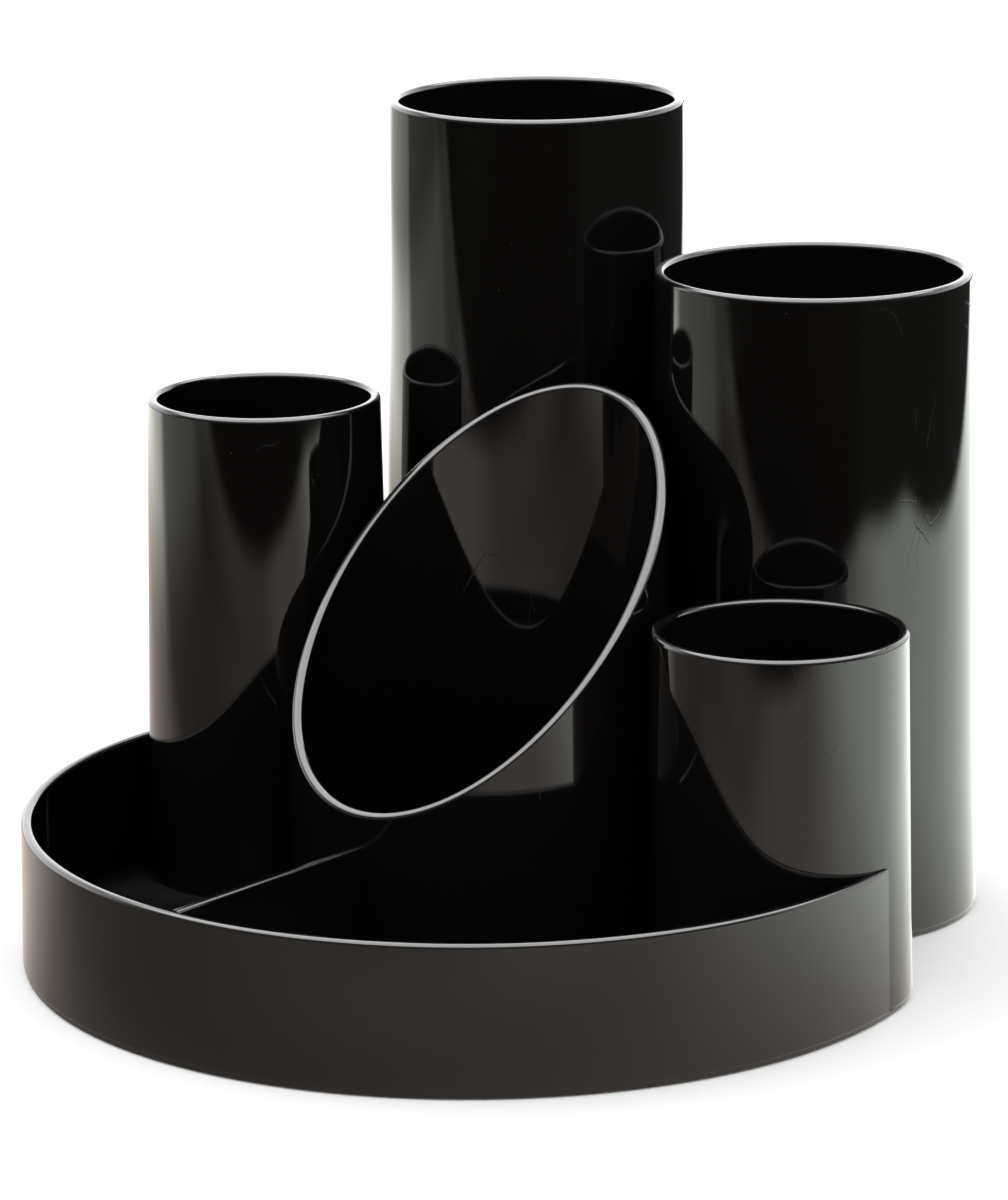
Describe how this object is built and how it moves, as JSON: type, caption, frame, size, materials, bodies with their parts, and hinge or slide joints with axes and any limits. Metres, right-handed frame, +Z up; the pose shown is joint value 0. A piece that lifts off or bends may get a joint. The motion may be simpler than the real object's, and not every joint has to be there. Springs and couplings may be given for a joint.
{
  "type": "desk tidy",
  "caption": "Glossy black desk tidy: open round tubes of stepped heights round a slant-cut middle tube, with a low divided tray in front.",
  "frame": {"origin": "on the desk, on the axis of the slant-cut middle tube, at the face of the foot pad under it", "axes": "+Z up; -Y is the front, towards the low side of the slanted rim and along the tray's divider; the short tube stands on the +X side and the left tube on the -X side"},
  "size_m": [0.159, 0.1689, 0.14],
  "materials": {
    "gloss_black": "high gloss, moulded",
    "base_black": "gloss, moulded",
    "pad_rubber": "matt"
  },
  "bodies": {
    "root": {"slant_tube": "gloss_black", "tall_tube": "gloss_black", "wide_tube": "gloss_black", "left_tube": "gloss_black", "short_tube": "gloss_black", "tray_wall": "gloss_black", "tray_divider": "gloss_black", "base_plate": "base_black", "foot_pad_slant_tube": "pad_rubber", "foot_pad_tall_tube": "pad_rubber", "foot_pad_wide_tube": "pad_rubber", "foot_pad_left_tube": "pad_rubber", "foot_pad_short_tube": "pad_rubber", "foot_pad_front_left": "pad_rubber", "foot_pad_front_right": "pad_rubber"}
  },
  "joints": []
}
